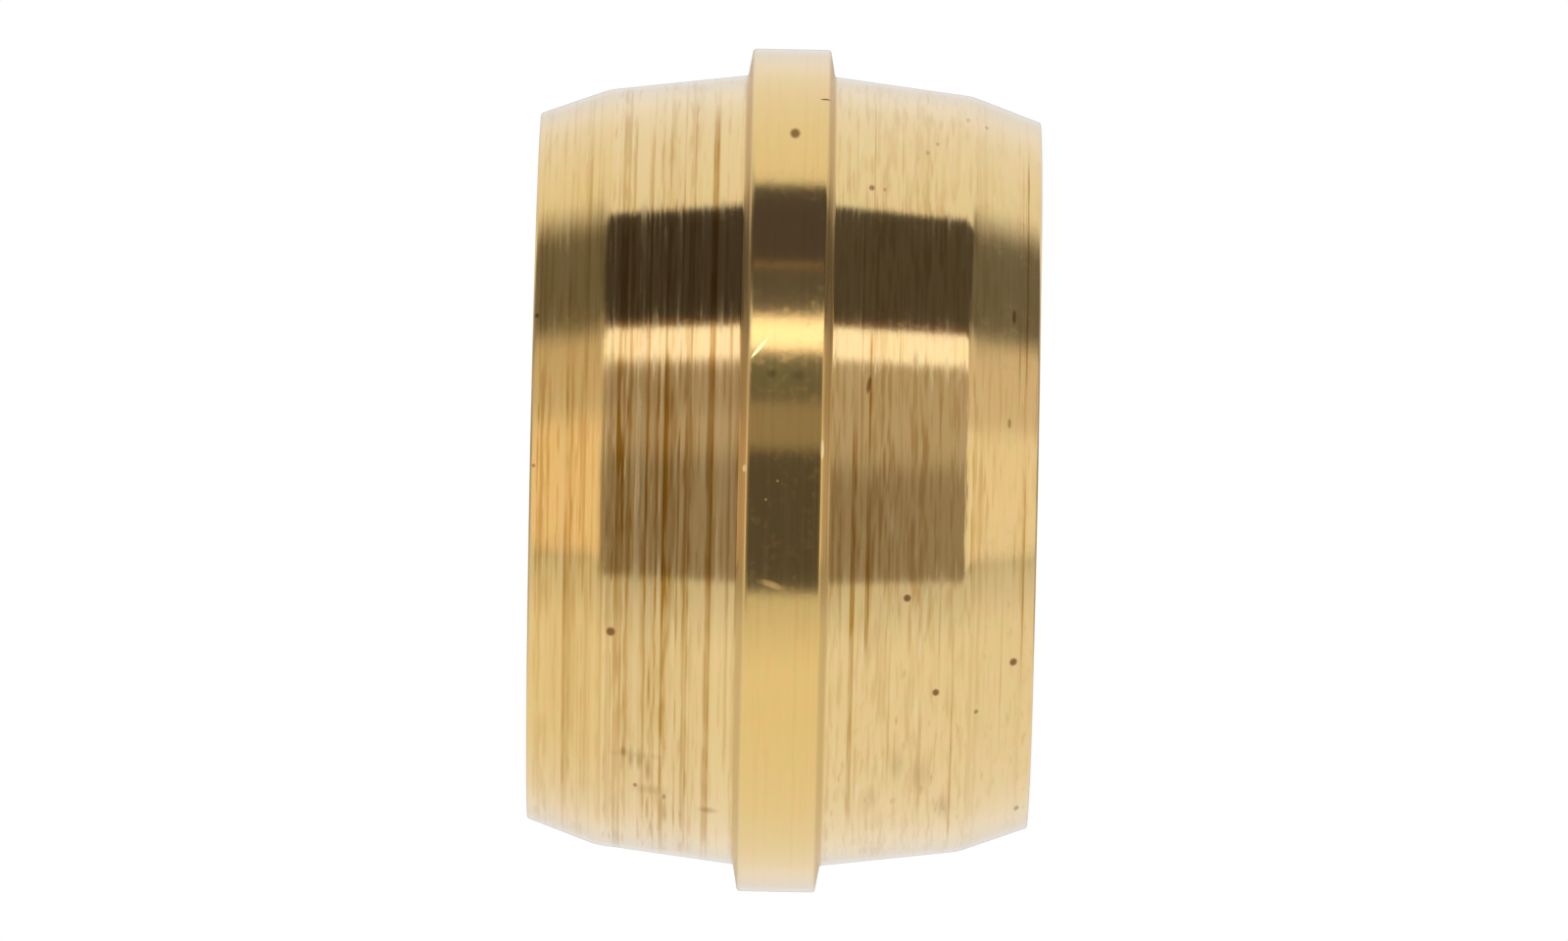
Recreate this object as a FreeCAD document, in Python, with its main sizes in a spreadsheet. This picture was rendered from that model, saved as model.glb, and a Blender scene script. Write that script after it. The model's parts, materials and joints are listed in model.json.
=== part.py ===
"""Compression olive: a brass ring turned in one piece, which seals a tube in a compression fitting.

The ring stands on one end, with its axis on Z and the middle of its lower end face at the origin.
From the middle outwards it has a collar with drafted sides, a long shallow flank on each side of it,
a steeper nose cone at each end, and a plain bore with a chamfer at each mouth. Its radii build up
from the tube: the bore, the wall at the end face, the rise of the nose and of the flank, and the
height of the collar. Lengths are in millimetres and angles in degrees.
"""

import FreeCAD, Part
import enum
import os

import Sketcher

SHEET = "Sizes"

# Driving dimensions of the olive
SIZES = {
    "tube_diameter": 10.0,
    "tube_clearance": 0.08,
    "overall_length": 8.0,
    "end_wall": 0.61,
    "nose_length": 1.1,
    "nose_angle": 20.0,
    "flank_angle": 7.0,
    "collar_width": 1.24,
    "collar_height": 0.43,
    "collar_draft_angle": 10.0,
    "mouth_chamfer": 0.2,
    "end_edge_radius": 0.05,
    "knee_radius": 0.7,
    "root_radius": 0.08,
    "collar_edge_radius": 0.06,
}

# Sizes worked out from the driving dimensions, as expressions on the sheet
BORE_RADIUS = f"({SHEET}.tube_diameter + {SHEET}.tube_clearance) / 2"
MIDDLE = f"{SHEET}.overall_length / 2"

# The section's lines in order: out along the lower end face, up the outside, and down the bore
LINES = (
    "low_face",
    "low_nose",
    "low_flank",
    "low_side",
    "collar_land",
    "up_side",
    "up_flank",
    "up_nose",
    "up_face",
    "bore_wall",
)

# The rounded corners of the section: the line that ends in each, and the size of its round
ROUNDS = {
    "low_face": "end_edge_radius",
    "low_nose": "knee_radius",
    "low_flank": "root_radius",
    "low_side": "collar_edge_radius",
    "collar_land": "collar_edge_radius",
    "up_side": "root_radius",
    "up_flank": "knee_radius",
    "up_nose": "end_edge_radius",
}


class Place(enum.IntEnum):
    """Which point of a sketched line a constraint takes."""

    START = 1
    END = 2


class Axis(enum.IntEnum):
    """The sketch's own axes, as constraints number them."""

    ACROSS = -1
    ALONG = -2


ORIGIN = (Axis.ACROSS, Place.START)


def make_sheet(doc):
    """The spreadsheet of driving dimensions, one row each: its name, and its value under that alias."""
    sheet = doc.addObject("Spreadsheet::Sheet", SHEET)
    for row, (name, value) in enumerate(SIZES.items(), start=1):
        sheet.set(f"A{row}", name)
        sheet.set(f"B{row}", str(value))
        sheet.setAlias(f"B{row}", name)
    doc.recompute()
    return sheet


def origin_plane(body, role):
    """The body's own origin plane of that role."""
    return next(p for p in body.Origin.OriginFeatures if p.Role == role)


def hold(sketch, kind, *places):
    """Adds a constraint that has no size."""
    sketch.addConstraint(Sketcher.Constraint(kind, *places))


def bind(sketch, kind, places, name, expression):
    """Adds a named dimension to the sketch and ties it to the sheet."""
    value = sketch.evalExpression(expression)
    if kind == "Angle":
        value = FreeCAD.Units.Quantity(f"{value} deg")
    index = sketch.addConstraint(Sketcher.Constraint(kind, *places, value))
    sketch.renameConstraint(index, name)
    sketch.setExpression(f"Constraints.{name}", expression)


def draw_outline(sketch, sheet):
    """The section's lines, end to end, roughly in place: the dimensions then bring them to size."""
    bore = sketch.evalExpression(BORE_RADIUS)
    end = bore + sheet.end_wall
    knee = end + sheet.end_wall / 2
    root = knee + sheet.end_wall / 2
    collar = root + sheet.collar_height
    length = sheet.overall_length
    land = sheet.collar_width / 2
    foot = land + sheet.collar_height / 4
    lower = [
        (bore, 0),
        (end, 0),
        (knee, sheet.nose_length),
        (root, length / 2 - foot),
        (collar, length / 2 - land),
    ]
    upper = [(across, length - along) for across, along in reversed(lower)]
    corners = [FreeCAD.Vector(across, along, 0) for across, along in lower + upper]
    ends = corners[1:] + corners[:1]
    drawn = [sketch.addGeometry(Part.LineSegment(a, b)) for a, b in zip(corners, ends)]
    for line, following in zip(drawn, drawn[1:] + drawn[:1]):
        hold(sketch, "Coincident", line, Place.END, following, Place.START)
    return dict(zip(LINES, drawn))


def mirror_outline(sketch, sheet, lines):
    """Makes the section alike on both sides of half the length."""
    middle = sheet.overall_length / 2
    across = Part.LineSegment(FreeCAD.Vector(0, middle, 0), FreeCAD.Vector(sheet.tube_diameter, middle, 0))
    mirror = sketch.addGeometry(across, True)
    hold(sketch, "Horizontal", mirror)
    hold(sketch, "PointOnObject", mirror, Place.START, Axis.ALONG)
    hold(sketch, "PointOnObject", mirror, Place.END, lines["collar_land"])
    bind(sketch, "DistanceY", (*ORIGIN, mirror, Place.START), "middle", MIDDLE)
    pairs = (("low_nose", "up_flank"), ("low_flank", "up_side"), ("low_side", "collar_land"))
    for lower, upper in pairs:
        hold(sketch, "Symmetric", lines[lower], Place.END, lines[upper], Place.END, mirror)
    hold(sketch, "Vertical", lines["low_face"], Place.END, lines["up_nose"], Place.END)


def size_outline(sketch, lines):
    """Squares the section to the axis and ties its lengths, heights and slopes to the sheet."""
    face, nose, flank = lines["low_face"], lines["low_nose"], lines["low_flank"]
    side, land = lines["low_side"], lines["collar_land"]
    for line in (face, lines["up_face"]):
        hold(sketch, "Horizontal", line)
    hold(sketch, "Vertical", lines["bore_wall"])
    hold(sketch, "PointOnObject", face, Place.START, Axis.ACROSS)
    across = (
        ("bore", (*ORIGIN, face, Place.START), BORE_RADIUS),
        ("wall", (face, Place.START, face, Place.END), f"{SHEET}.end_wall"),
        ("collar", (side, Place.START, side, Place.END), f"{SHEET}.collar_height"),
    )
    along = (
        ("length", (*ORIGIN, lines["up_face"], Place.END), f"{SHEET}.overall_length"),
        ("nose", (*ORIGIN, nose, Place.END), f"{SHEET}.nose_length"),
        ("land", (land, Place.START, land, Place.END), f"{SHEET}.collar_width"),
    )
    slopes = (
        ("nose_slope", (nose,), f"90 - {SHEET}.nose_angle"),
        ("flank_slope", (flank,), f"90 - {SHEET}.flank_angle"),
        ("side_slope", (side,), f"{SHEET}.collar_draft_angle"),
    )
    for kind, dimensions in (("DistanceX", across), ("DistanceY", along), ("Angle", slopes)):
        for name, places, expression in dimensions:
            bind(sketch, kind, places, name, expression)


def round_outline(sketch, sheet, lines):
    """Rounds the section's corners. Each keeps its corner point, on which the dimensions stand."""
    for name, size in ROUNDS.items():
        arc = sketch.GeometryCount
        sketch.fillet(lines[name], Place.END, sheet.get(size), True, True)
        bind(sketch, "Radius", (arc,), f"{name}_round", f"{SHEET}.{size}")


def draw_section(body, sheet):
    """Half of the olive's section, in the plane through its axis, from the bore out to the collar."""
    sketch = body.newObject("Sketcher::SketchObject", "section")
    sketch.AttachmentSupport = [(origin_plane(body, "XZ_Plane"), "")]
    sketch.MapMode = "FlatFace"
    lines = draw_outline(sketch, sheet)
    mirror_outline(sketch, sheet, lines)
    size_outline(sketch, lines)
    body.Document.recompute()
    round_outline(sketch, sheet, lines)
    body.Document.recompute()
    if not sketch.FullyConstrained:
        raise RuntimeError("the section isn't fully dimensioned")
    return sketch


def turn_section(body, section):
    """The section turned once round the axis."""
    turned = body.newObject("PartDesign::Revolution", "turned_ring")
    turned.Profile = section
    turned.ReferenceAxis = (section, ["V_Axis"])
    turned.Angle = 360
    body.Document.recompute()
    return turned


def chamfer_mouths(body, ring):
    """Chamfers the bore's two mouths, the smallest of the edges that go right round the ring."""
    hoops = {
        f"Edge{index}": edge.Curve.Radius
        for index, edge in enumerate(ring.Shape.Edges, start=1)
        if edge.isClosed()
    }
    bore = min(hoops.values())
    mouths = [name for name, radius in hoops.items() if radius < bore + Part.Precision.confusion()]
    chamfers = body.newObject("PartDesign::Chamfer", "mouth_chamfers")
    chamfers.Base = (ring, mouths)
    chamfers.setExpression("Size", f"{SHEET}.mouth_chamfer")
    body.Document.recompute()


def make_olive(doc, sheet):
    """The olive itself: its section turned round the axis, with a chamfer at each mouth of the bore."""
    body = doc.addObject("PartDesign::Body", "olive")
    body.Label = "olive"
    section = draw_section(body, sheet)
    ring = turn_section(body, section)
    chamfer_mouths(body, ring)
    return body


def check(doc, pieces):
    """Stops the build if an object failed to recompute or a piece isn't one valid solid."""
    for obj in doc.Objects:
        if "Invalid" in obj.State or "Error" in obj.State:
            raise RuntimeError(f"{obj.Label} failed: {obj.State}")
    for piece in pieces:
        shape = piece.Shape
        if shape.isNull() or not shape.isValid() or len(shape.Solids) != 1:
            raise RuntimeError(f"{piece.Label} isn't one valid solid")


def export(pieces):
    """Writes each piece to parts/, in a file named for its node."""
    os.makedirs("parts", exist_ok=True)
    for piece in pieces:
        piece.Shape.exportStep(f"parts/{piece.Label}.step")


def main():
    """Builds the olive, checks it and writes it out."""
    doc = FreeCAD.newDocument("compression_olive")
    sheet = make_sheet(doc)
    pieces = [make_olive(doc, sheet)]
    check(doc, pieces)
    export(pieces)
    for piece in pieces:
        box = piece.Shape.optimalBoundingBox(False)
        print(
            f"{piece.Label}: {box.XLength:.3f} x {box.YLength:.3f} x {box.ZLength:.3f} mm,"
            f" {piece.Shape.Volume:.2f} cubic mm, {len(piece.Shape.Faces)} faces"
        )


main()
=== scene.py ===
"""Looks of a compression olive: a brass ring turned in one piece, standing on its end.

The camera looks across the ring's axis and is rolled, so that the axis lies almost level in the
picture with the ring's upper end on the left. The ring is turned from its own section by a node
tree, which also cuts the tool marks into it, and it stands on a pale floor in a light tent.
Sizes are in millimetres unless a name says otherwise, and angles are in degrees.
"""

import json
import logging
import math
from collections.abc import Iterator
from dataclasses import dataclass
from enum import Enum
from functools import reduce
from typing import Any

import bpy
from mathutils import Matrix, Vector


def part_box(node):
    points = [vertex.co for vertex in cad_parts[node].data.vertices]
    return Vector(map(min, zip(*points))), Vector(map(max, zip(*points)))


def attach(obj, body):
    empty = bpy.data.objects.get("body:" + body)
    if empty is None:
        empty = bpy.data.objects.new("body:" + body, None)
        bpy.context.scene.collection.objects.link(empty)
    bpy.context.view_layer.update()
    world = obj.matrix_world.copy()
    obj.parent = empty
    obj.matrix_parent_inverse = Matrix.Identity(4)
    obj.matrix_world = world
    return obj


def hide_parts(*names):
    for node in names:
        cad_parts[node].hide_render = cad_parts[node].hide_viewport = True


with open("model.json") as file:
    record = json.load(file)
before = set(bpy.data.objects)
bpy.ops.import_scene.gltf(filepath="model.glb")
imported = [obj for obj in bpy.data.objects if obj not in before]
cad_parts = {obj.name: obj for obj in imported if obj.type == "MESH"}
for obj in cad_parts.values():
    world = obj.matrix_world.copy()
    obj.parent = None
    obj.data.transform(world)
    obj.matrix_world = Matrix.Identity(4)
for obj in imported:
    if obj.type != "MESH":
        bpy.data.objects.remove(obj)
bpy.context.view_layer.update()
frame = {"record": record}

MM = 0.001
MICRON = MM * MM
DEGREES = 180 / math.pi
LOG = logging.getLogger("olive")

Colour = tuple[float, float, float]
Point = tuple[float, float]
Limits = tuple[float, float]
WHITE: Colour = (1.0, 1.0, 1.0)


class Wire:
    """A node's output socket that takes part in Python expressions as a number."""

    def __init__(self, graph: "Graph", socket: bpy.types.NodeSocket) -> None:
        """Keeps the socket and the graph that an expression on it adds its nodes to."""
        self.graph = graph
        self.socket = socket

    def __add__(self, other: "Feed") -> "Wire":
        """This value plus another."""
        return self.graph.maths("ADD", self, other)

    def __sub__(self, other: "Feed") -> "Wire":
        """This value minus another."""
        return self.graph.maths("SUBTRACT", self, other)

    def __rsub__(self, other: "Feed") -> "Wire":
        """Another value minus this one."""
        return self.graph.maths("SUBTRACT", other, self)

    def __mul__(self, other: "Feed") -> "Wire":
        """This value times another."""
        return self.graph.maths("MULTIPLY", self, other)

    def __truediv__(self, other: "Feed") -> "Wire":
        """This value divided by another."""
        return self.graph.maths("DIVIDE", self, other)

    def __abs__(self) -> "Wire":
        """This value without its sign."""
        return self.graph.maths("ABSOLUTE", self)

    __radd__ = __add__
    __rmul__ = __mul__

    def most(self, other: "Feed") -> "Wire":
        """The larger of this value and another."""
        return self.graph.maths("MAXIMUM", self, other)

    def rise(self, low: "Feed", high: "Feed") -> "Wire":
        """Goes smoothly from 0, where this value is at low, to 1, where it is at high."""
        sockets = {"Value": self, "From Min": low, "From Max": high}
        return self.graph.wire("ShaderNodeMapRange", {"interpolation_type": "SMOOTHSTEP"}, sockets)

    def band(self, low: float, high: float, low_edge: float, high_edge: float) -> "Wire":
        """Is 1 between low and high and 0 outside, with soft edges centred on the two limits."""
        up = self.rise(low - low_edge / 2, low + low_edge / 2)
        return up - self.rise(high - high_edge / 2, high + high_edge / 2)


Feed = Wire | float | int | tuple | bpy.types.Material
Settings = dict[str, Any]
Sockets = dict[str | int, Feed]


class Graph:
    """A node tree that grows by Python expressions."""

    def __init__(self, tree: bpy.types.NodeTree) -> None:
        """Takes over a tree and empties it."""
        self.tree = tree
        tree.nodes.clear()

    def feed(self, socket: bpy.types.NodeSocket, value: Feed) -> None:
        """Links a wire to an input socket, or sets the socket's own value.

        Args:
            socket: the input socket.
            value: a wire, or the value to set; a colour may leave out its alpha.
        """
        if isinstance(value, Wire):
            self.tree.links.new(value.socket, socket)
        elif socket.type == "RGBA" and len(value) == 3:
            socket.default_value = (*value, 1.0)
        else:
            socket.default_value = value

    def add(
        self, kind: str, settings: Settings | None = None, sockets: Sockets | None = None
    ) -> bpy.types.Node:
        """Adds a node of any type.

        Args:
            kind: the node's type.
            settings: the node's own properties, which are set first.
            sockets: what its input sockets get, by name or by number.

        Returns:
            The new node.
        """
        node = self.tree.nodes.new(kind)
        for name, value in (settings or {}).items():
            setattr(node, name, value)
        for key, value in (sockets or {}).items():
            self.feed(node.inputs[key], value)
        return node

    def wire(
        self,
        kind: str,
        settings: Settings | None = None,
        sockets: Sockets | None = None,
        output: str | int = 0,
    ) -> Wire:
        """Adds a node of any type, as add does, and returns one of its outputs as a wire."""
        return Wire(self, self.add(kind, settings, sockets).outputs[output])

    def maths(self, operation: str, *values: Feed) -> Wire:
        """Adds a Math node on one or two values."""
        return self.wire("ShaderNodeMath", {"operation": operation}, dict(enumerate(values)))

    def vector(self, operation: str, *values: Feed, output: str | int = 0) -> Wire:
        """Adds a Vector Math node."""
        return self.wire("ShaderNodeVectorMath", {"operation": operation}, dict(enumerate(values)), output)

    def scaled(self, vector: Feed, share: Wire) -> Wire:
        """A vector times a number."""
        return self.wire("ShaderNodeVectorMath", {"operation": "SCALE"}, {0: vector, "Scale": share})

    def length(self, vector: Wire) -> Wire:
        """The length of a vector."""
        return self.vector("LENGTH", vector, output="Value")

    def join(self, x: Feed = 0.0, y: Feed = 0.0, z: Feed = 0.0) -> Wire:
        """The vector that has these three parts."""
        return self.wire("ShaderNodeCombineXYZ", sockets={"X": x, "Y": y, "Z": z})

    def split(self, vector: Wire) -> list[Wire]:
        """The three parts of a vector."""
        parts = self.add("ShaderNodeSeparateXYZ", sockets={"Vector": vector}).outputs
        return [Wire(self, part) for part in parts]

    def mix(self, share: Feed, first: Feed, second: Feed, blend: str = "MIX") -> Wire:
        """Adds a colour Mix node that goes from the first colour to the second."""
        settings = {"data_type": "RGBA", "blend_type": blend}
        return self.wire("ShaderNodeMix", settings, {0: share, 6: first, 7: second}, output=2)

    def attribute(self, name: str) -> Wire:
        """A number that the mesh carries, for a material."""
        return self.wire("ShaderNodeAttribute", {"attribute_name": name}, output="Fac")

    def noise(self, place: Wire, seed: float, detail: float) -> Wire:
        """Smooth noise from 0 to 1 at a place that is already to scale.

        Args:
            place: the vector that it is read at.
            seed: picks one pattern out of many.
            detail: how many finer layers it has.

        Returns:
            The noise as a wire.
        """
        sockets = {"Vector": place, "W": seed, "Scale": 1.0, "Detail": detail}
        return self.wire("ShaderNodeTexNoise", {"noise_dimensions": "4D"}, sockets)


class Surface(Enum):
    """The surfaces that the section runs along, which were cut one by one."""

    BORE = "bore"
    MOUTH = "mouth"
    FACE = "face"
    NOSE = "nose"
    FLANK = "flank"
    SIDE = "side"
    LAND = "land"


@dataclass(frozen=True)
class TurnedFinish:
    """How a tool left one surface of the ring.

    Attributes:
        step: distance between the section's points on it.
        groove: depth of its tool marks, in thousandths of a millimetre.
        stain: how brown its tool marks are, from 0 to 1.
        pale: how pale its brass is, from 0 to 1.
        rough: roughness of its polish.
        dashes: how brown the short dashes on it are, from 0 to 1.
        mottle: how uneven its polish is, from 0 to 1.
    """

    step: float
    groove: float
    stain: float
    pale: float
    rough: float
    dashes: float = 0.0
    mottle: float = 0.0


LOWER_FINISH = {
    Surface.BORE: TurnedFinish(step=0.25, groove=0.1, stain=0.1, pale=0.3, rough=0.26),
    Surface.MOUTH: TurnedFinish(step=0.07, groove=0.5, stain=0.3, pale=0.5, rough=0.26),
    Surface.FACE: TurnedFinish(step=0.045, groove=1.0, stain=0.5, pale=0.5, rough=0.26),
    Surface.NOSE: TurnedFinish(
        step=0.020, groove=1.0, stain=0.65, pale=1.0, rough=0.13, dashes=0.25, mottle=0.7
    ),
    Surface.FLANK: TurnedFinish(
        step=0.016, groove=1.1, stain=1.0, pale=1.0, rough=0.075, dashes=0.4, mottle=0.3
    ),
    Surface.SIDE: TurnedFinish(step=0.05, groove=0.5, stain=0.4, pale=0.4, rough=0.25),
    Surface.LAND: TurnedFinish(step=0.04, groove=0.05, stain=0.2, pale=0.1, rough=0.12, mottle=0.5),
}
UPPER_FINISH = {
    **LOWER_FINISH,
    Surface.NOSE: TurnedFinish(step=0.020, groove=1.6, stain=0.5, pale=0.4, rough=0.14, mottle=0.4),
    Surface.FLANK: TurnedFinish(step=0.016, groove=2.6, stain=1.0, pale=1.0, rough=0.075, mottle=0.3),
}


@dataclass(frozen=True)
class Corner:
    """A corner of the ring's section.

    Attributes:
        place: distance from the axis and height.
        radius: radius of its round.
        finish: how the surface that starts at it was left.
    """

    place: Point
    radius: float
    finish: TurnedFinish


@dataclass(frozen=True)
class Section:
    """The ring's section, from the bore outwards, alike at both ends.

    Attributes:
        bore_radius: radius of the bore.
        collar_radius: radius of the collar's land.
        length: length of the ring.
        end_wall: thickness of the wall at an end face.
        nose_length: length of a nose cone.
        nose_angle: slope of a nose cone to the axis.
        collar_width: width of the collar's land.
        collar_height: height of the collar over the flanks.
        collar_draft: slope of the collar's sides.
        mouth_chamfer: size of the chamfer at each mouth of the bore.
        mouth_radius: round of that chamfer's corners.
        end_radius: round between an end face and its nose.
        knee_radius: round between a nose and its flank.
        root_radius: round between a flank and the collar's side.
        edge_radius: round between the collar's side and its land.
        round_step: largest step along a round, as an angle.
        seam: length of the step in the bore with which the outline closes.
    """

    bore_radius: float
    collar_radius: float
    length: float
    end_wall: float = 0.61
    nose_length: float = 1.1
    nose_angle: float = 20.0
    collar_width: float = 1.24
    collar_height: float = 0.43
    collar_draft: float = 10.0
    mouth_chamfer: float = 0.2
    mouth_radius: float = 0.03
    end_radius: float = 0.05
    knee_radius: float = 0.7
    root_radius: float = 0.04
    edge_radius: float = 0.06
    round_step: float = 11.0
    seam: float = 0.01

    @property
    def end(self) -> Point:
        """The corner of the lower end face."""
        return self.bore_radius + self.end_wall, 0.0

    @property
    def knee(self) -> Point:
        """The corner between the lower nose and flank."""
        rise = self.nose_length * math.tan(math.radians(self.nose_angle))
        return self.end[0] + rise, self.nose_length

    @property
    def edge(self) -> Point:
        """The lower corner of the collar's land."""
        return self.collar_radius, (self.length - self.collar_width) / 2

    @property
    def root(self) -> Point:
        """The corner where the lower flank meets the collar's side."""
        back = self.collar_height * math.tan(math.radians(self.collar_draft))
        return self.edge[0] - self.collar_height, self.edge[1] - back

    def radius_at(self, height: float) -> float:
        """Distance of the outer surface from the axis, with its corners left sharp.

        Args:
            height: height above the lower end face.

        Returns:
            The distance from the axis.
        """
        height = min(height, self.length - height)
        corners = [self.end, self.knee, self.root, self.edge]
        for (inner, low), (outer, high) in zip(corners, corners[1:]):
            if height <= high:
                return inner + (outer - inner) * (height - low) / (high - low)
        return self.collar_radius

    def corners(self) -> list[Corner]:
        """The section's corners in order, from the bore out over the lower end and round to the bore.

        Returns:
            The corners of the lower half and then those of the upper half.
        """
        chamfer = self.mouth_chamfer
        lower = [
            ((self.bore_radius, chamfer), self.mouth_radius, Surface.MOUTH),
            ((self.bore_radius + chamfer, 0.0), self.mouth_radius, Surface.FACE),
            (self.end, self.end_radius, Surface.NOSE),
            (self.knee, self.knee_radius, Surface.FLANK),
            (self.root, self.root_radius, Surface.SIDE),
            (self.edge, self.edge_radius, Surface.LAND),
        ]
        corners = [Corner(place, radius, LOWER_FINISH[surface]) for place, radius, surface in lower]
        surfaces = [Surface.BORE, *(surface for _, _, surface in lower[:-1])]
        for ((across, height), radius, _), surface in zip(reversed(lower), reversed(surfaces)):
            corners.append(Corner((across, self.length - height), radius, UPPER_FINISH[surface]))
        return corners

    def rounded(self, before: Point, corner: Corner, after: Point) -> list[Vector]:
        """The points of a corner's round.

        Args:
            before: the corner before it.
            corner: the corner to round.
            after: the corner after it.

        Returns:
            Points on the arc, from the first tangent point to the second.
        """
        tip = Vector(corner.place)
        back = (Vector(before) - tip).normalized()
        on = (Vector(after) - tip).normalized()
        half = back.angle(on) / 2
        centre = tip + (back + on).normalized() * corner.radius / math.sin(half)
        first = tip + back * corner.radius / math.tan(half) - centre
        turn = math.pi - 2 * half
        if first.x * on.y - first.y * on.x < 0:
            turn = -turn
        count = max(2, math.ceil(abs(math.degrees(turn)) / self.round_step))
        return [centre + Matrix.Rotation(turn * i / count, 2) @ first for i in range(count + 1)]

    def outline(self) -> list[tuple[Vector, TurnedFinish]]:
        """The whole closed outline, with the finish that each point belongs to.

        Returns:
            Points of distance from the axis and height, which start and end beside each other in the bore.
        """
        corners = self.corners()
        gap = self.seam / 2
        bore = LOWER_FINISH[Surface.BORE]
        ends = (self.bore_radius, self.length / 2 - gap), (self.bore_radius, self.length / 2 + gap)
        places = [ends[0], *(corner.place for corner in corners), ends[1]]
        points = [(Vector(ends[0]), bore)]
        for before, corner, after in zip(places, corners, places[2:]):
            arc = self.rounded(before, corner, after)
            points += self.straight(points[-1][0], arc[0], points[-1][1])
            points += [(place, corner.finish) for place in arc]
        return points + self.straight(points[-1][0], Vector(ends[1]), bore)

    @staticmethod
    def straight(start: Vector, end: Vector, finish: TurnedFinish) -> list[tuple[Vector, TurnedFinish]]:
        """Evenly spaced points along a straight stretch, with both its ends left out.

        Args:
            start: where the stretch starts.
            end: where it ends.
            finish: how its surface was left, which says how close the points are.

        Returns:
            The points between the two.
        """
        count = max(1, math.ceil((end - start).length / finish.step))
        return [(start.lerp(end, i / count), finish) for i in range(1, count)]


def spoke(graph: Graph, place: Wire) -> Wire:
    """The direction from the ring's axis to a place, as a vector of length 1."""
    return graph.vector("NORMALIZE", graph.vector("MULTIPLY", place, (1.0, 1.0, 0.0)))


def angle_round(graph: Graph, east: Wire, north: Wire) -> Wire:
    """The angle round the ring's axis, from the camera's side towards the top of the picture."""
    return graph.maths("ARCTAN2", east, 0 - north) * DEGREES


@dataclass(frozen=True)
class TurnedPlace:
    """A place on the turned surface, as a node tree finds it.

    Attributes:
        graph: the tree.
        along: its distance along the section.
        outward: the direction from the ring's axis to it.
    """

    graph: Graph
    along: Wire
    outward: Wire


# The middle of a noise, and the limits between which stretches of lines and single flecks come out of it
NOISE_MIDDLE = 0.5
STRETCHES = (0.3, 0.62)
FLECKS = (0.58, 0.82)

# A stretch of lines changes along the section at half the lines' pitch, by a pattern of its own
STRETCH_PITCH = 0.5
STRETCH_SEED = 10.0


@dataclass(frozen=True)
class ToolMarks:
    """Lines that a tool left round the ring, which come and go on their way.

    Attributes:
        name: what the lines are.
        pitch: how many fit into a millimetre along the section.
        wander: how fast they change on the way round, per radian.
        weight: how strong they are.
        seed: picks their pattern.
        detail: how many finer layers they have.
    """

    name: str
    pitch: float
    wander: float
    weight: float
    seed: float
    detail: float = 0.0

    def height(self, place: TurnedPlace) -> Wire:
        """The height of lines that come and go in stretches, around 0.

        Args:
            place: where on the turned surface.

        Returns:
            The height, mostly between minus and plus half the weight.
        """
        graph = place.graph
        line = graph.noise(graph.join(z=place.along * self.pitch), self.seed, self.detail) - NOISE_MIDDLE
        stretch = graph.noise(self.wound(place, STRETCH_PITCH), self.seed + STRETCH_SEED, 0.0)
        return line * stretch.rise(*STRETCHES) * (2 * self.weight)

    def flecks(self, place: TurnedPlace) -> Wire:
        """Short marks that each stand alone, from 0 between them to the weight in them."""
        pattern = place.graph.noise(self.wound(place), self.seed, self.detail)
        return pattern.rise(*FLECKS) * self.weight

    def weave(self, place: TurnedPlace) -> Wire:
        """The height of lines that each come and go by themselves, around 0."""
        pattern = place.graph.noise(self.wound(place), self.seed, self.detail)
        return (pattern - NOISE_MIDDLE) * (2 * self.weight)

    def wound(self, place: TurnedPlace, share: float = 1.0) -> Wire:
        """The place to the scale of the lines' pitch, or of a share of it, and of their way round."""
        across = place.graph.join(z=place.along * (self.pitch * share))
        return place.graph.vector("MULTIPLY_ADD", place.outward, (self.wander, self.wander, 0.0), across)


CUT_MARKS = (
    ToolMarks("tool pressure", pitch=1.8, wander=0.5, weight=0.6, seed=3.1),
    ToolMarks("feed lines", pitch=5.8, wander=2.2, weight=1.6, seed=7.7, detail=1.0),
)
BRUSHED_MARKS = (
    ToolMarks("broken lines", pitch=8.2, wander=7.0, weight=1.1, seed=1.9),
    ToolMarks("fine lines", pitch=14.0, wander=8.0, weight=1.7, seed=5.3),
    ToolMarks("hair lines", pitch=20.0, wander=12.0, weight=1.5, seed=2.7),
)
WOVEN = ToolMarks("woven scratches", pitch=17.0, wander=9.0, weight=1.05, seed=6.2, detail=1.0)
# The bright scratches are partly a painted highlight.
SCRATCHES = ToolMarks("bright scratches", pitch=20.0, wander=11.0, weight=1.0, seed=4.6)
DASHES = ToolMarks("short dashes", pitch=12.0, wander=16.0, weight=1.0, seed=8.4, detail=1.0)


def summed(marks: tuple[ToolMarks, ...], place: TurnedPlace) -> Wire:
    """The height of several kinds of lines together, around 0."""
    return reduce(Wire.__add__, (mark.height(place) for mark in marks))


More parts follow.
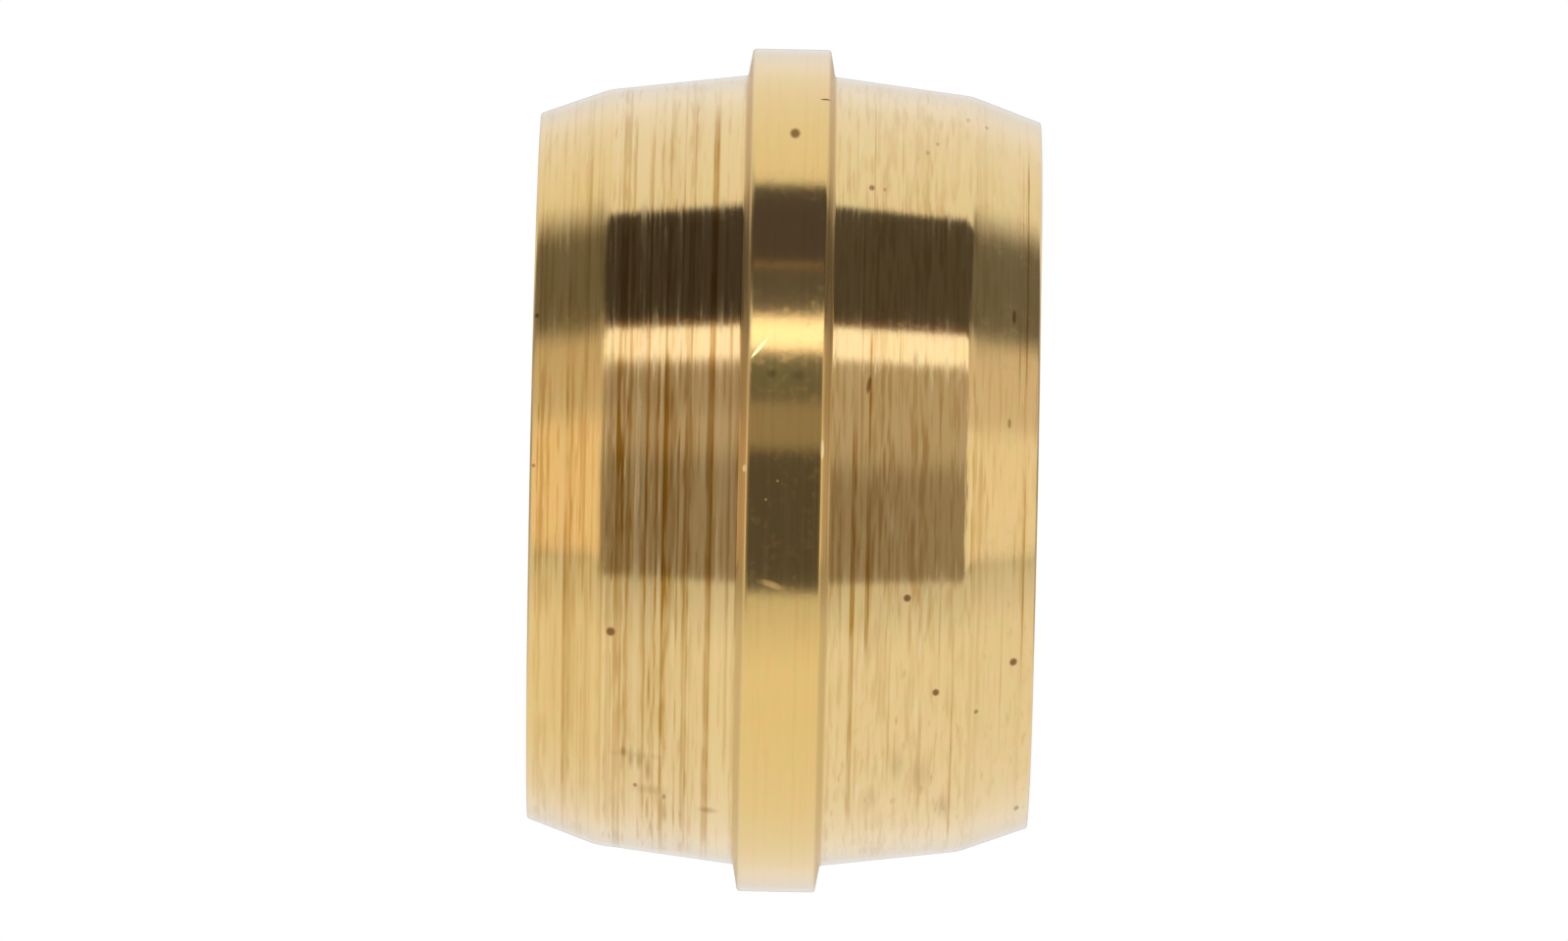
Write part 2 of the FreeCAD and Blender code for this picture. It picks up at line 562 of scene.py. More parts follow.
@dataclass(frozen=True)
class Lathe:
    """Turns a section round the Z axis with a node tree and cuts the tool marks.

    Attributes:
        segments: number of steps round the ring.
        marks: the lines that are cut into it.
    """

    segments: int = 160
    marks: tuple[ToolMarks, ...] = CUT_MARKS

    def tree(self) -> bpy.types.NodeTree:
        """The node tree, with inputs for the section, the rail it is turned on and the finish.

        Returns:
            The geometry node tree.
        """
        tree = bpy.data.node_groups.new("lathe", "GeometryNodeTree")
        sockets = (
            ("Section", "INPUT", "NodeSocketGeometry"),
            ("Segments", "INPUT", "NodeSocketInt"),
            ("Rail Radius", "INPUT", "NodeSocketFloat"),
            ("Brass", "INPUT", "NodeSocketMaterial"),
            ("Ring", "OUTPUT", "NodeSocketGeometry"),
        )
        for name, way, kind in sockets:
            tree.interface.new_socket(name=name, in_out=way, socket_type=kind)
        graph = Graph(tree)
        given = graph.add("NodeGroupInput").outputs
        inputs = (name for name, way, _ in sockets if way == "INPUT")
        section, segments, rail_radius, brass = (Wire(graph, given[name]) for name in inputs)

        profile = graph.wire("GeometryNodeMeshToCurve", sockets={"Mesh": section})
        circle = {"Resolution": segments, "Radius": rail_radius}
        rail = graph.wire("GeometryNodeCurvePrimitiveCircle", {"mode": "RADIUS"}, circle)
        rail = graph.wire("GeometryNodeSetCurveNormal", {"mode": "Z_UP"}, {"Curve": rail})
        ring = graph.wire("GeometryNodeCurveToMesh", sockets={"Curve": rail, "Profile Curve": profile})
        ring = graph.wire("GeometryNodeFlipFaces", sockets={"Mesh": ring})

        along = self.carried(graph, "along")
        place = graph.wire("GeometryNodeInputPosition")
        groove = summed(self.marks, TurnedPlace(graph, along, spoke(graph, place)))
        depth = self.carried(graph, "groove_depth")
        offset = graph.scaled(graph.wire("GeometryNodeInputNormal"), groove * depth)
        number = {"data_type": "FLOAT", "domain": "POINT"}
        stored = {"Geometry": ring, "Name": "groove", "Value": groove}
        ring = graph.wire("GeometryNodeStoreNamedAttribute", number, stored)
        ring = graph.wire("GeometryNodeSetPosition", sockets={"Geometry": ring, "Offset": offset})
        ring = graph.wire("GeometryNodeSetShadeSmooth", sockets={"Geometry": ring})
        ring = graph.wire("GeometryNodeRealizeInstances", sockets={"Geometry": ring})
        ring = graph.wire("GeometryNodeSetMaterial", sockets={"Geometry": ring, "Material": brass})
        graph.add("NodeGroupOutput", sockets={"Ring": ring})
        return tree

    @staticmethod
    def carried(graph: Graph, name: str) -> Wire:
        """A number that the section carries."""
        return graph.wire("GeometryNodeInputNamedAttribute", {"data_type": "FLOAT"}, {"Name": name})


class Tone(Enum):
    """What a small mark does to the brass under it."""

    DARK = "dark"
    BRIGHT = "bright"
    # LIT marks carry a painted highlight where a fresh scratch or an edge catches the light.
    LIT = "lit"


@dataclass(frozen=True)
class Mark:
    """A small mark on the outside of the ring.

    Attributes:
        name: what it is.
        height: its height above the lower end face.
        around: its angle round the axis from the camera's side, towards the top of the picture.
        long: half its size along the axis.
        wide: half its size round the ring.
        turn: how far it is turned on the surface.
        tone: what it does to the brass.
        strength: how strongly, from 0 to 1.
        soft: how far its edge fades in and out, as a share of its size.
    """

    name: str
    height: float
    around: float
    long: float
    wide: float
    turn: float = 0.0
    tone: Tone = Tone.DARK
    strength: float = 0.85
    soft: float = 0.25


def spot(name: str, height: float, around: float, radius: float, strength: float = 0.85) -> Mark:
    """A round dark spot."""
    wide = radius / math.cos(math.radians(around))
    return Mark(name, height, around, radius, wide, strength=strength, soft=0.4)


def scuff(name: str, height: float, around: float, long: float, wide: float, strength: float = 0.4) -> Mark:
    """A faint brown smudge or scrape."""
    return Mark(name, height, around, long, wide, strength=strength, soft=0.85)


def nick(name: str, height: float, around: float, long: float, wide: float, strength: float = 0.85) -> Mark:
    """A bright nick or burr."""
    return Mark(name, height, around, long, wide, tone=Tone.BRIGHT, strength=strength)


MARKS = (
    spot("pore on the collar", 3.929, 52.2, 0.08),
    spot("pore on the upper flank", 6.677, -25.2, 0.07),
    spot("pore on the lower flank", 2.023, -18.6, 0.06),
    spot("second pore on the lower flank", 1.539, -34.4, 0.055),
    spot("pore on the lower nose", 0.324, -30.7, 0.06),
    spot("speck on the lower flank", 2.701, 46.0, 0.045, 0.7),
    spot("faint speck beside it", 2.499, 45.9, 0.03, 0.35),
    spot("speck higher on the flank", 1.821, 55.8, 0.035, 0.35),
    spot("speck beside that", 1.666, 58.6, 0.03, 0.35),
    spot("speck near the knee", 1.182, 68.3, 0.035, 0.35),
    spot("speck past the knee", 0.883, 67.4, 0.03, 0.4),
    spot("speck on the lower nose", 0.894, -38.8, 0.035, 0.6),
    spot("speck near the lower end", 0.196, -67.8, 0.04, 0.6),
    spot("nick in the upper rim", 7.94, 24.6, 0.035, 0.7),
    spot("second nick in the rim", 7.94, 0.0, 0.03, 0.6),
    spot("speck by the smudges", 6.26, -55.1, 0.035, 0.6),
    Mark("tick at their end", 5.80, -57.3, 0.03, 0.09, strength=0.5, soft=0.5),
    Mark("dark dash on the lower flank", 2.693, 12.7, 0.035, 0.14, turn=8.0, strength=0.7, soft=0.4),
    Mark("dark dash on the lower nose", 0.421, 25.4, 0.03, 0.12, strength=0.6, soft=0.4),
    Mark("short dash on the lower nose", 0.471, 8.0, 0.03, 0.08, strength=0.5, soft=0.4),
    Mark("dash at the collar's edge", 3.456, 60.8, 0.08, 0.03),
    scuff("smudge on the upper flank", 6.45, -47.4, 0.05, 0.10, 0.45),
    scuff("second smudge", 6.33, -48.6, 0.035, 0.22),
    scuff("third smudge", 6.20, -48.8, 0.04, 0.20),
    scuff("fourth smudge", 6.06, -50.6, 0.04, 0.27),
    scuff("scrape across them", 6.22, -47.8, 0.34, 0.07, 0.16),
    scuff("scrape lower down", 6.02, -55.9, 0.22, 0.12, 0.22),
    scuff("smudge near the collar", 5.10, -59.6, 0.12, 0.08),
    scuff("dull patch on the lower flank", 2.12, -48.4, 0.10, 0.35, 0.2),
    scuff("second dull patch", 1.75, -51.4, 0.15, 0.42, 0.2),
    scuff("third dull patch", 1.37, -60.1, 0.12, 0.32, 0.2),
    scuff("fourth dull patch", 2.53, -56.0, 0.08, 0.30, 0.2),
    scuff("stain on the collar", 4.22, 13.0, 0.07, 0.06, 0.4),
    scuff("second stain on the collar", 3.80, 12.8, 0.10, 0.07, 0.3),
    # Painted highlights: on a fresh scratch, on the collar's edge, and on a nick in its other edge.
    Mark("fresh scratch on the collar", 4.43, 16.4, 0.026, 0.20, turn=38.0, tone=Tone.LIT, strength=0.65),
    Mark("burr on the collar's edge", 3.41, 2.9, 0.03, 0.16, tone=Tone.LIT, strength=0.8),
    Mark("nick on the collar's other edge", 4.62, 0.2, 0.03, 0.06, tone=Tone.LIT, strength=0.7),
    Mark(
        "smear on the collar", 4.16, -15.4, 0.15, 0.05, turn=20.0, tone=Tone.BRIGHT, strength=0.4, soft=0.7
    ),
    nick("bright speck on the collar", 4.097, -1.4, 0.022, 0.022, 0.25),
    nick("second bright speck", 4.276, -3.9, 0.022, 0.022, 0.25),
)


@dataclass(frozen=True)
class Line:
    """A brown line that a tool left part of the way round the ring.

    Attributes:
        name: where it is.
        height: its height above the lower end face.
        wide: half its width.
        around: its two ends round the ring, from the camera's side towards the top of the picture.
        strength: how strong it is, from 0 to 1.
    """

    name: str
    height: float
    wide: float
    around: Limits
    strength: float


LINES = (
    Line("upper nose", 7.40, 0.05, (-68.0, -10.0), 0.35),
    Line("broad line beside it", 7.32, 0.09, (-48.0, -16.0), 0.3),
    Line("third line of the upper nose", 7.07, 0.04, (-62.0, -18.0), 0.35),
    Line("line by the upper knee", 6.86, 0.05, (-70.0, -12.0), 0.35),
    Line("line high on the upper nose", 7.14, 0.04, (10.0, 62.0), 0.3),
    Line("second line high on it", 6.95, 0.03, (16.0, 56.0), 0.3),
    Line("upper knee", 6.73, 0.03, (-72.0, 20.0), 0.45),
    Line("outer line of the upper flank", 6.60, 0.06, (-22.0, 0.0), 0.5),
    Line("second line", 6.44, 0.025, (-66.0, 64.0), 0.5),
    Line("third line", 6.17, 0.04, (-62.0, 60.0), 0.45),
    Line("fourth line", 5.88, 0.025, (-60.0, 34.0), 0.5),
    Line("broad line", 5.74, 0.06, (-24.0, 10.0), 0.4),
    Line("long thin line", 5.485, 0.022, (-75.0, 70.0), 0.6),
    Line("long broad line", 5.155, 0.055, (-72.0, 66.0), 0.6),
    Line("line by the collar", 4.865, 0.03, (-48.0, 26.0), 0.5),
    Line("line in the collar's upper corner", 4.715, 0.03, (-30.0, 30.0), 0.6),
    Line("line in the collar's lower corner", 3.295, 0.025, (-30.0, 30.0), 0.5),
    Line("line by the collar's lower side", 3.11, 0.035, (-17.0, -3.0), 0.6),
    Line("long line of the lower flank", 2.89, 0.045, (-62.0, 8.0), 0.68),
    Line("dark line beside it", 2.655, 0.04, (-28.0, -2.0), 0.75),
    Line("line through the dash", 2.66, 0.02, (2.0, 20.0), 0.8),
    Line("line above the dash", 2.65, 0.014, (40.0, 70.0), 0.45),
    Line("line by the collar above", 3.05, 0.012, (42.0, 56.0), 0.3),
    Line("thin line above", 2.93, 0.012, (45.0, 66.0), 0.3),
    Line("thin line in the lamp's light", 2.80, 0.012, (4.0, 42.0), 0.35),
    Line("long faint line", 2.21, 0.013, (-24.0, 72.0), 0.4),
    Line("line in the lower light", 2.28, 0.02, (-54.0, -26.0), 0.45),
    Line("second line in the lower light", 1.78, 0.03, (-62.0, -36.0), 0.45),
    Line("lower knee", 1.28, 0.022, (-74.0, -26.0), 0.75),
    Line("short line by the lower knee", 1.50, 0.02, (-32.0, -18.0), 0.5),
    Line("line of the lower nose", 0.52, 0.015, (-46.0, -22.0), 0.4),
    Line("hooked line", 0.32, 0.018, (12.0, 24.0), 0.6),
    Line("end line above", 0.21, 0.018, (14.0, 62.0), 0.55),
    Line("second end line above", 0.29, 0.012, (38.0, 60.0), 0.4),
    Line("end line", 0.20, 0.02, (-36.0, 0.0), 0.5),
)
WASHES = (
    Line("stained stretch of the upper flank", 6.36, 0.22, (-50.0, 14.0), 0.26),
    Line("stained stretch beside it", 6.00, 0.36, (-44.0, 14.0), 0.26),
    Line("stain on the upper nose", 7.38, 0.09, (-60.0, 30.0), 0.18),
    Line("stain low on the upper flank", 5.90, 0.75, (-78.0, -16.0), 0.12),
    Line("stain low on the upper nose", 7.35, 0.50, (-78.0, -16.0), 0.06),
    Line("stain in the lamp's light", 6.42, 0.30, (12.0, 26.0), 0.14),
    Line("stain above the dark band", 5.85, 0.22, (40.0, 58.0), 0.14),
)
# Bands of the collar's dull sides, whose colour carries painted shade.
SIDES = (
    Line("collar's upper side", 4.665, 0.065, (-90.0, 90.0), 0.85),
    Line("collar's lower side", 3.342, 0.065, (-90.0, 90.0), 0.85),
)


# Depths of wall over the bore between which what is drawn on the outside comes in
OUTER_WALL = (0.05, 0.25)

# Where the edge of a small mark is, as a share of its size
MARK_EDGE = 0.95

# Where a line starts and is full, as shares of half its width, and the softness of its two ends
LINE_EDGE = (1.3, 0.4)
LINE_END = 12.0


class RingPlace:
    """Where a material is on the ring.

    Attributes:
        graph: the material's tree.
        place: the place itself.
        height: its height above the lower end face.
        around: its angle round the axis, from the camera's side towards the top of the picture.
        flat: that angle, the height and 1, as a vector.
        turned: its place on the turned surface.
        outside: 0 in the bore and 1 on the outside.
    """

    def __init__(self, graph: Graph, bore: float) -> None:
        """Adds the nodes that find the place.

        Args:
            graph: the material's tree.
            bore: radius of the bore.
        """
        self.graph = graph
        self.place = graph.wire("ShaderNodeTexCoord", output="Object")
        east, north, up = graph.split(self.place)
        self.height = up / MM
        self.around = angle_round(graph, east, north)
        self.flat = graph.join(self.around, self.height, 1.0)
        self.turned = TurnedPlace(graph, graph.attribute("along"), spoke(graph, self.place))
        radius = graph.length(graph.vector("MULTIPLY", self.place, (1 / MM, 1 / MM, 0.0)))
        self.outside = radius.rise(*(bore + wall for wall in OUTER_WALL))


@dataclass(frozen=True)
class Fade:
    """Something on the ring that thins out on the way round.

    Attributes:
        name: where it does.
        around: the angles between which it thins out.
        share: the share of it that goes, from 0 to 1.
    """

    name: str
    around: Limits
    share: float

    def gone(self, around: Wire) -> Wire:
        """The share that is gone at an angle round the ring."""
        return around.rise(*self.around) * self.share

    def left(self, around: Wire) -> Wire:
        """The share that is left at an angle round the ring."""
        return 1.0 - self.gone(around)


@dataclass(frozen=True)
class Gap(Fade):
    """Something on the ring that is thinner on one stretch of the way round.

    Attributes:
        edge: softness of the stretch's two ends.
    """

    edge: float

    def gone(self, around: Wire) -> Wire:
        """The share that is gone at an angle round the ring."""
        return around.band(*self.around, self.edge, self.edge) * self.share


def thinned(amount: Wire, around: Wire, fades: tuple[Fade, ...]) -> Wire:
    """What several fades leave of an amount at an angle round the ring."""
    return reduce(Wire.__mul__, (fade.left(around) for fade in fades), amount)


@dataclass(frozen=True)
class Clouds:
    """Soft patches in which the brass differs.

    Attributes:
        pitch: how many fit into a millimetre along X, Y and Z.
        seed: picks their pattern.
        detail: how many finer layers they have.
    """

    pitch: tuple[float, float, float]
    seed: float
    detail: float

    def noise(self, where: RingPlace) -> Wire:
        """How strong they are at a place, from 0 to 1."""
        scale = tuple(pitch / MM for pitch in self.pitch)
        return where.graph.noise(where.graph.vector("MULTIPLY", where.place, scale), self.seed, self.detail)


TINTS = Clouds((3.0, 3.0, 3.0), seed=4.4, detail=2.0)
BLOTCHES = Clouds((7.0, 7.0, 7.0), seed=2.6, detail=2.0)
# The brown lines thin out in the lower light and above the dark band, following the tent's light: painted
# light.
LINE_FADES = (
    Fade("lines in the lower light", (-16.0, -30.0), 0.35),
    Fade("lines above the dark band", (42.0, 52.0), 0.15),
)
# The bright scratches, partly a painted highlight, thin out where the lamp reflects.
SCRATCH_GAP = Gap("scratches in the lamp's light", (19.0, 44.0), 0.85, edge=6.0)


@dataclass(frozen=True)
class Tarnish:
    """How the tarnish of the tool marks changes over the ring.

    Attributes:
        fades: where it thins out on the way round; in the stretches named after the tent's light this is
            painted light.
        back: where it thins out towards the back, both ways round.
        heights: the heights between which it grows to its full strength.
        below: its share of that strength under them.
        clouds: patches in which it differs.
        limits: the patches' noise between which it grows.
        uneven: how far it differs between patches.
    """

    # The tarnish is real; its thinning in the lower light, above the dark band and in the lamp's light
    # follows the tent's light and is painted light.
    fades: tuple[Fade, ...] = (
        Fade("above the middle", (8.0, 20.0), 0.35),
        Fade("in the lower light", (-14.0, -28.0), 0.5),
        Fade("above the dark band", (42.0, 52.0), 0.3),
        Gap("in the lamp's light", (16.0, 22.0), 0.3, edge=3.0),
    )
    back: Fade = Fade("towards the back", (80.0, 120.0), 0.45)
    heights: Limits = (4.7, 6.6)
    below: float = 0.55
    clouds: Clouds = Clouds((1.0, 1.0, 1.8), seed=9.1, detail=1.0)
    limits: Limits = (0.3, 0.7)
    uneven: float = 0.5

    def stain(self, where: RingPlace) -> Wire:
        """How brown the tool marks are at a place.

        Args:
            where: the place on the ring.

        Returns:
            What is left there of the stain that the surface's own finish gives.
        """
        stain = thinned(where.graph.attribute("stain"), where.around, self.fades)
        stain = stain * self.back.left(abs(where.around))
        stain = stain * (where.height.rise(*self.heights) * (1.0 - self.below) + self.below)
        patches = self.clouds.noise(where).rise(*self.limits)
        return stain * (patches * self.uneven + (1.0 - self.uneven / 2))


@dataclass(frozen=True)
class Layers:
    """What lies over the plain brass at a place, from 0, clear, to 1, covered, unless it says otherwise.

    Attributes:
        stain: how brown the tool marks are.
        brushed: height of the fine lines, around 0.
        ridge: bright ridges and scratches between the tool marks, partly clean brass and partly a painted
            highlight.
        brown: brown in the tool marks, and brown lines and stains.
        dull: the collar's sides, dull brass with painted shade.
        dirt: dirt and open pores.
        fresh: fresh nicks.
        lit: painted highlights on fresh scratches and on the collar's edge.
        mottle: how uneven the polish is.
        blotches: the patches of that polish, around 0.
    """

    stain: Wire
    brushed: Wire
    ridge: Wire
    brown: Wire
    dull: Wire
    dirt: Wire
    fresh: Wire
    lit: Wire
    mottle: Wire
    blotches: Wire


@dataclass(frozen=True)
class Brass:
    """The brass of the ring, whose finish changes from one turned surface to the next.

    Attributes:
        warm: colour of the burnished brass.
        pale: colour of the paler turned brass.
        light: colour of the ridges between tool marks, partly a painted highlight, and of the painted sheen
            towards the limb.
        brown: colour in the bottom of the tool marks.
        dull: colour of the collar's sides, dull brass with painted shade.
        darker: colour of those sides on the stretch facing the camera, with more painted shade.
        brighter: colour of those sides further down the picture, where painted light makes them paler.
        dirt: colour of dirt and open pores.
        fresh: colour of fresh nicks, and of the painted highlights on the lit marks.
        rosy: tint of the brass in some patches.
        olive: tint of the brass in the patches between.
        film: how much of the brass is under a thin clear film of oil.
        film_rough: roughness of that film.
        film_ior: its index of refraction.
        tarnish: how the tarnish changes over the ring.
        woven: strength of the woven scratches, and what a surface with dashes adds to it.
        unbrushed: how far a surface with dashes lacks the brushed lines.
        groove_depths: depths of a tool mark between which it turns brown.
        groove_brown: how brown it turns.
        dashed_around: the angles between which the short dashes come in.
        line_breaks: how far the brushed lines break up the brown lines.
        wash_breaks: how far they break up the broad stains.
        scratch_light: how bright the scratches are on a surface with dashes, partly as a painted highlight.
        ridge_heights: heights of a ridge between which it turns bright.
        ridge_light: how light the ridges are, partly as a painted highlight.
        limb_around: the angles, both ways round, between which a painted sheen makes the brass paler
            towards the ring's limb.
        limb_sheen: how strong that painted sheen is.
        tint_limits: the noise between which the tint goes over from olive to rosy.
        brighter_around: the angles between which the collar's sides go over to their painted light.
        darker_around: the two ends of the stretch on which the sides take more painted shade, and their
            softness.
        relief: height of the brushed lines, in thousandths of a millimetre.
        lean: how far the collar's dull sides lean out, as a slope.
        lean_heights: heights between which the lean goes over from the lower to the upper side.
        opened: how a fresh nick turns the surface.
        raised: how a fresh scratch turns it.
        rough_ridge: how much rougher the ridges are.
        rough_brown: how much rougher the brown is.
        rough_patch: how much rougher the patches of uneven polish are.
        patch_limits: the noise between which those patches come in.
        marks: the small marks on the outside.
        lines: the brown lines on the outside.
        washes: the broad stains on the outside.
        sides: the dull bands beside the collar, with painted shade.
    """

    warm: Colour = (0.80, 0.530, 0.160)
    pale: Colour = (0.82, 0.585, 0.245)
    light: Colour = (0.88, 0.675, 0.35)
    brown: Colour = (0.43, 0.208, 0.024)
    dull: Colour = (0.54, 0.345, 0.15)
    darker: Colour = (0.40, 0.25, 0.10)
    brighter: Colour = (0.62, 0.425, 0.17)
    dirt: Colour = (0.16, 0.06, 0.010)
    fresh: Colour = (1.0, 0.81, 0.42)
    rosy: Colour = (1.015, 0.985, 0.99)
    olive: Colour = (0.98, 1.005, 0.96)
    film: float = 1.0
    film_rough: float = 0.12
    film_ior: float = 1.5
    tarnish: Tarnish = Tarnish()
    woven: tuple[float, float] = (0.3, 2.4)
    unbrushed: float = 1.4
    groove_depths: Limits = (-0.2, 0.7)
    groove_brown: float = 0.85
    dashed_around: Limits = (5.0, -25.0)
    line_breaks: float = 0.8
    wash_breaks: float = 0.6
    scratch_light: float = 2.2
    ridge_heights: Limits = (0.0, 0.9)
    ridge_light: float = 0.75
    limb_around: Limits = (30.0, 80.0)
    limb_sheen: float = 0.38
    tint_limits: Limits = (0.35, 0.65)
    brighter_around: Limits = (-10.0, -26.0)
    darker_around: tuple[float, float, float, float] = (-17.0, 16.0, 8.0, 8.0)
    relief: float = 1.5
    lean: float = 0.21
    lean_heights: Limits = (3.8, 4.2)
    opened: tuple[float, float, float] = (0.0, 0.0, 0.45)
    raised: tuple[float, float, float] = (0.05, 0.0, 0.0)
    rough_ridge: float = 0.17
    rough_brown: float = 0.03
    rough_patch: float = 0.15
    patch_limits: Limits = (0.0, 0.3)
    marks: tuple[Mark, ...] = MARKS
    lines: tuple[Line, ...] = LINES
    washes: tuple[Line, ...] = WASHES
    sides: tuple[Line, ...] = SIDES

    def material(self, section: Section) -> bpy.types.Material:
        """Makes the material.

        Args:
            section: the ring's section, which says where its surface is.

        Returns:
            The material, which reads what the ring's mesh carries.
        """
        material = bpy.data.materials.new("turned_brass")
        material.use_nodes = True
        graph = Graph(material.node_tree)
        where = RingPlace(graph, section.bore_radius)
        layers = self.layers(where, section)
        shader = graph.wire(
            "ShaderNodeBsdfPrincipled",
            sockets={
                "Base Color": self.colour(where, layers),
                "Metallic": 1.0,
                "Roughness": self.roughness(graph, layers),
                "Normal": self.normal(where, layers),
                "Coat Weight": (self.film - layers.brown - layers.dull - layers.dirt).most(0.0),
                "Coat Roughness": self.film_rough,
                "Coat IOR": self.film_ior,
            },
        )
        graph.add("ShaderNodeOutputMaterial", sockets={"Surface": shader})
        return material

    def layers(self, where: RingPlace, section: Section) -> Layers:
        """What lies over the plain brass.

        Args:
            where: the place on the ring.
            section: the ring's section.

        Returns:
            The layers at that place.
        """
        graph, around, turned = where.graph, where.around, where.turned
        stain = self.tarnish.stain(where)
        dashed = graph.attribute("dashes")
        woven = WOVEN.weave(turned) * (self.woven[0] + dashed * self.woven[1])
        brushed = summed(BRUSHED_MARKS, turned) * (1.0 - dashed * self.unbrushed) + woven
        streak = graph.attribute("groove") * (1.0 - dashed) + brushed

        brown = (0 - streak).rise(*self.groove_depths) * stain * self.groove_brown
        brown = brown.most(DASHES.flecks(turned) * dashed * around.rise(*self.dashed_around))
        lines = self.drawn(where, self.lines) * (1.0 - brushed * self.line_breaks)
        brown = brown.most(thinned(lines, around, LINE_FADES))
        brown = brown + self.drawn(where, self.washes) * (1.0 - brushed * self.wash_breaks)
        scratches = SCRATCHES.flecks(turned) * dashed * self.scratch_light * SCRATCH_GAP.left(around)
        return Layers(
            stain=stain,
            brushed=brushed,
            ridge=(streak.rise(*self.ridge_heights) * stain).most(scratches),
            brown=brown,
            dull=self.drawn(where, self.sides),
            dirt=self.covered(where, section, Tone.DARK),
            fresh=self.covered(where, section, Tone.BRIGHT),
            lit=self.covered(where, section, Tone.LIT),
            mottle=graph.attribute("mottle"),
            blotches=BLOTCHES.noise(where) - NOISE_MIDDLE,
        )

    def colour(self, where: RingPlace, layers: Layers) -> Wire:
        """The colour of the brass and of what lies over it.

        Args:
            where: the place on the ring.
            layers: what lies over the brass there.

        Returns:
            The colour as a wire.
        """
        graph, around = where.graph, where.around
        tint = graph.mix(TINTS.noise(where).rise(*self.tint_limits), self.olive, self.rosy)
        colour = graph.mix(graph.attribute("pale"), self.warm, self.pale)
        # Painted sheen: the brass grows paler towards the ring's limb, both ways round from the camera's
        # side.
        colour = graph.mix(abs(around).rise(*self.limb_around) * self.limb_sheen, colour, self.light)
        # Ridges and scratches paler: partly clean brass, partly a painted highlight.
        colour = graph.mix(layers.ridge * self.ridge_light, colour, self.light)
        colour = graph.mix(1.0, colour, tint, "MULTIPLY")
        colour = graph.mix(layers.brown, colour, self.brown)
        # The collar's sides: dull brass with painted shade, more of it facing the camera, and painted light
        # further down the picture.
        sides = graph.mix(around.rise(*self.brighter_around), self.dull, self.brighter)
        sides = graph.mix(around.band(*self.darker_around), sides, self.darker)
        colour = graph.mix(layers.dull, colour, sides)
        colour = graph.mix(layers.dirt, colour, self.dirt)
        # Fresh nicks take the fresh colour, and the lit marks take it as a painted highlight.
        return graph.mix(layers.fresh.most(layers.lit), colour, self.fresh)

    def normal(self, where: RingPlace, layers: Layers) -> Wire:
        """The way that the surface faces, with its finest lines and nicks.

        Args:
            where: the place on the ring.
            layers: what lies over the brass there.

        Returns:
            A vector of length 1.
        """
        graph = where.graph
        relief = layers.brushed * layers.stain * self.relief + layers.blotches * layers.mottle
        bump = graph.wire("ShaderNodeBump", sockets={"Strength": 1.0, "Distance": MICRON, "Height": relief})
        lean = where.height.rise(*self.lean_heights) * (2 * self.lean) - self.lean
        slope = graph.vector("NORMALIZE", graph.vector("ADD", where.turned.outward, graph.join(z=lean)))
        faces = {0: layers.dull, 4: bump, 5: slope}
        normal = graph.wire("ShaderNodeMix", {"data_type": "VECTOR"}, faces, output=1)
        for turned, mark in ((self.opened, layers.fresh), (self.raised, layers.lit)):
            normal = graph.vector("ADD", normal, graph.scaled(turned, mark))
        return graph.vector("NORMALIZE", normal)

    def roughness(self, graph: Graph, layers: Layers) -> Wire:
        """The roughness of the polish.

        Args:
            graph: the material's tree.
            layers: what lies over the brass.

        Returns:
            The roughness as a wire.
        """
        patches = layers.blotches.rise(*self.patch_limits) * layers.mottle
        rough = graph.attribute("rough") + layers.ridge * self.rough_ridge
        return rough + layers.brown * self.rough_brown + patches * self.rough_patch

    @staticmethod
    def drawn(where: RingPlace, lines: tuple[Line, ...]) -> Wire:
        """Where any of several lines is.

        Args:
            where: the place on the ring.
            lines: the lines.

        Returns:
            From 0, clear, to the strength of the strongest line there.
        """
        total = None
        for line in lines:
            inside = abs(where.height - line.height).rise(*(line.wide * edge for edge in LINE_EDGE))
            mask = inside * where.around.band(*line.around, LINE_END, LINE_END) * line.strength
            total = mask if total is None else total.most(mask)
        return total * where.outside

    def covered(self, where: RingPlace, section: Section, tone: Tone) -> Wire:
        """Where the small marks of one tone are, from 0, clear, to 1, fully marked."""
        marks = (self.mask(where, section, mark) for mark in self.marks if mark.tone is tone)
        return reduce(Wire.most, marks) * where.outside

    @staticmethod
    def mask(where: RingPlace, section: Section, mark: Mark) -> Wire:
        """Where one small mark is: inside an ellipse on the surface.

        Args:
            where: the place on the ring.
            section: the ring's section.
            mark: the mark.

        Returns:
            From 0, clear, to the mark's strength.
        """
        graph = where.graph
        arc = section.radius_at(mark.height) * math.radians(1.0)
        turn = math.radians(mark.turn)
        centre = Vector((mark.around, mark.height))
        across = Vector((math.cos(turn) * arc, -math.sin(turn))) / mark.wide
        upward = Vector((math.sin(turn) * arc, math.cos(turn))) / mark.long
        offsets = (
            graph.vector("DOT_PRODUCT", where.flat, (*axis, -axis.dot(centre)), output="Value")
            for axis in (across, upward)
        )
        distance = graph.length(graph.join(*offsets))
        return distance.rise(MARK_EDGE + mark.soft, MARK_EDGE - mark.soft) * mark.strength


